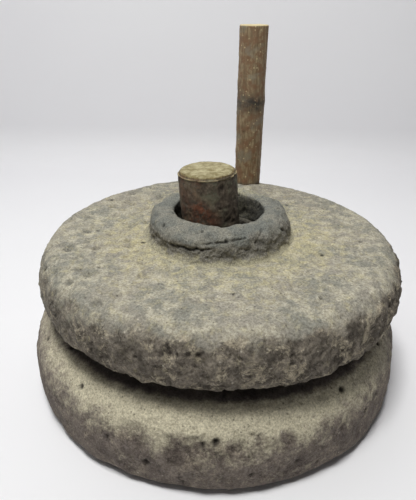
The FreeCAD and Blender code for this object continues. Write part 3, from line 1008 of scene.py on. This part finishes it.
def build_handle():
    foot, top = HANDLE_LOW[2], HANDLE_HIGH[2]
    inset = HANDLE_RADIUS - 0.1
    neck = (inset, RUNNER_TOP - 4)
    top_edge = (HANDLE_TOP_RADIUS, top - 1.4)
    cut_edge = (HANDLE_TOP_RADIUS - 1.5, top)
    outline = join_runs(
        ([(4, foot), (HANDLE_RADIUS - 0.6, foot)], 4.0),
        ([(HANDLE_RADIUS - 0.6, foot), (inset, foot + 1), neck], 3.0),
        ([neck, top_edge], 0.9),
        ([top_edge, (HANDLE_TOP_RADIUS - 0.5, top - 0.3), cut_edge], 0.6),
        ([cut_edge, (1.5, top)], 1.5),
    )
    shape, p, n = turned_points(outline, HANDLE_SEGMENTS, 0.0, False)
    angle = polar(p)[1]
    z = p[:, 2]
    side = ramp_up(np.hypot(n[:, 0], n[:, 1]), 0.4, 0.8)
    end = ramp_up(n[:, 2], 0.2, 0.7) * ramp_up(z, top - 3, top - 1)
    fibre = p * np.array([1, 1, 0.15])
    skin = (0.3 * fractal(fibre, 7, 3, 3) + 0.22 * fractal(p, 5, 3, 5)
            + 0.45 * noise(p * [1, 1, 0.5], 30, 7))
    knots = sum(rise * bell(z, middle, reach) * toward(angle, facing, width)
                for rise, middle, reach, facing, width in HANDLE_KNOTS)
    scars = pits(p * [1, 1, 0.6], 7.0, 0.16, 21, 0.25)
    move = side * (skin + knots - 0.7 * scars)
    # In its hole the stick stays inside its CAD outline.
    move = hold_in(move, ramp_up(z, RUNNER_TOP + 1, RUNNER_TOP + 9))
    move = move + end * 0.25 * fractal(p, 8, 3, 9)
    p = p + n * move[:, None]
    stain_and_shade = bell(z + 3 * noise(p, 12, 3), 240, 9) * (0.35 + 0.65 * toward(angle, -85, 60))
    stain_and_shade = stain_and_shade + 0.5 * bell(z, 251, 16) * toward(angle, -170, 30)
    # Painted shade: a dark band round the stick where it goes into its hole.
    stain_and_shade = stain_and_shade + 0.7 * bell(z, RUNNER_TOP + 1, 2.5)
    masks = {
        "end": end,
        "stain_and_shade": np.clip(stain_and_shade, 0, 0.95),
        "cavity_and_shade": np.clip(0.6 * scars * side, 0, 0.8),
    }
    p = p + np.array([HANDLE_X, HANDLE_Y, 0])
    return make_piece("handle_stick", p, shape, False, HANDLE_WOOD,
                      "handle", ["handle"], masks)


def dress_cad_node(node, material):
    """A CAD node whose shape is right keeps its mesh and gets a better material."""
    for material_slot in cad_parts[node].material_slots:
        material_slot.material = material


# --- the studio ---
CAMERA_DISTANCE = 497.65  # millimetres, as is the aim
CAMERA_AIM = (2.6, 0.0, 121.1)
CAMERA_PITCH = 0.469  # radians, as are the next two
CAMERA_YAW = -0.025
CAMERA_ROLL = 0.008
FOCAL_SHARE = 493.14 / 500  # focal length as a share of the picture's long side
SENSOR_WIDTH = 36.0
CLIP_START = 0.01

ROOM_NEAR, ROOM_FAR, ROOM_HALF, ROOM_TOP = -2.1, 0.72, 2.1, 2.2
SWEEP_BEND = 0.08
SWEEP_STEPS = 9
LIGHT_AIM = (0, 0, 0.1)
AIR_TINT = (0.93, 0.97, 1.0, 1.0)
AIR_STRENGTH = 0.02


def build_camera():
    level, drop = math.cos(CAMERA_PITCH), math.sin(CAMERA_PITCH)
    yaw_cos, yaw_sin = math.cos(CAMERA_YAW), math.sin(CAMERA_YAW)
    ahead = Vector((yaw_sin * level, yaw_cos * level, -drop))
    right = Vector((yaw_cos, -yaw_sin, 0))
    up = right.cross(ahead)
    cos, sin = math.cos(CAMERA_ROLL), math.sin(CAMERA_ROLL)
    right, up = cos * right + sin * up, cos * up - sin * right
    data = bpy.data.cameras.new("camera")
    data.sensor_width = SENSOR_WIDTH
    data.lens = FOCAL_SHARE * SENSOR_WIDTH
    data.clip_start = CLIP_START
    camera = add_object("camera", data)
    back = (0, -CAMERA_DISTANCE * level, CAMERA_DISTANCE * drop)
    at = (Vector(CAMERA_AIM) + Vector(back)) * MM
    camera.matrix_world = Matrix.Translation(at) @ Matrix((right, up, -ahead)).transposed().to_4x4()
    bpy.context.scene.camera = camera


def studio_material(name, dark, light):
    """A plain matt surface, slightly uneven in tone."""
    material, tree = new_material(name)
    shade = cloud(tree, place(tree), 400, 2.0)
    base = mix(tree, shade, dark, light)
    return finish_material(material, base, 0.6, [(shade, 0.02, 1.0)], 0.2)


def build_room():
    """A pale floor that sweeps up behind into a pale wall, with grey walls round the rest."""
    bend_y = ROOM_FAR - SWEEP_BEND
    bends = [(bend_y + SWEEP_BEND * math.sin(t), SWEEP_BEND - SWEEP_BEND * math.cos(t))
             for t in np.linspace(0, math.pi / 2, SWEEP_STEPS)]
    run = [(ROOM_NEAR, 0.0), (bend_y, 0.0), *bends, (ROOM_FAR, ROOM_TOP)]
    points = [(side * ROOM_HALF, y, z) for y, z in run for side in (-1, 1)]
    faces = [(2 * i, 2 * i + 1, 2 * i + 3, 2 * i + 2) for i in range(len(run) - 1)]
    front_left, front_right = (-ROOM_HALF, ROOM_NEAR), (ROOM_HALF, ROOM_NEAR)
    back_left, back_right = (-ROOM_HALF, ROOM_FAR), (ROOM_HALF, ROOM_FAR)
    walls = [(front_left, front_right), (front_left, back_left), (front_right, back_right)]
    grey_slot = 1
    for start, end in walls:
        faces.append(tuple(range(len(points), len(points) + 4)))
        points += [(*start, 0.0), (*end, 0.0), (*end, ROOM_TOP), (*start, ROOM_TOP)]
    mesh = add_mesh("studio_sweep", points, faces)
    mesh.polygons.foreach_set("use_smooth", [True] * len(mesh.polygons))
    white = studio_material("studio_white", colour(236, 235, 238), colour(241, 241, 242))
    grey = studio_material("studio_grey", colour(158, 158, 161), colour(164, 164, 166))
    mesh.materials.append(white)
    mesh.materials.append(grey)
    for face in range(len(faces) - len(walls), len(faces)):
        mesh.polygons[face].material_index = grey_slot
    floor = add_object("studio_sweep", mesh)


def area_light(name, at, width, power, tint):
    """A square light that faces the quern."""
    data = bpy.data.lights.new(name, "AREA")
    data.shape = "RECTANGLE"
    data.size, data.size_y = width, width
    data.energy = power
    data.color = tint
    light = add_object(name, data)
    light.location = at
    light.rotation_euler = (Vector(LIGHT_AIM) - Vector(at)).to_track_quat("-Z", "Y").to_euler()


def build_lights():
    area_light("key", (-0.14, -0.33, 1.65), width=0.36, power=20.5, tint=(1.0, 1.0, 0.985))
    area_light("ceiling", (-0.7, -0.1, 2.1), width=1.6, power=9.0, tint=(0.98, 0.99, 1.0))
    world = bpy.data.worlds.new("studio_air")
    world.use_nodes = True
    sky = world.node_tree.nodes["Background"]
    sky.inputs["Color"].default_value = AIR_TINT
    sky.inputs["Strength"].default_value = AIR_STRENGTH
    bpy.context.scene.world = world
    bpy.context.scene.view_settings.view_transform = "Standard"


build_camera()
build_bedstone()
build_runner()
build_collar()
build_peg()
build_handle()
for hidden in ("rynd", "peg_wedge_1", "peg_wedge_2", "peg_wedge_3"):
    dress_cad_node(hidden, SPLIT_WOOD)
build_room()
build_lights()
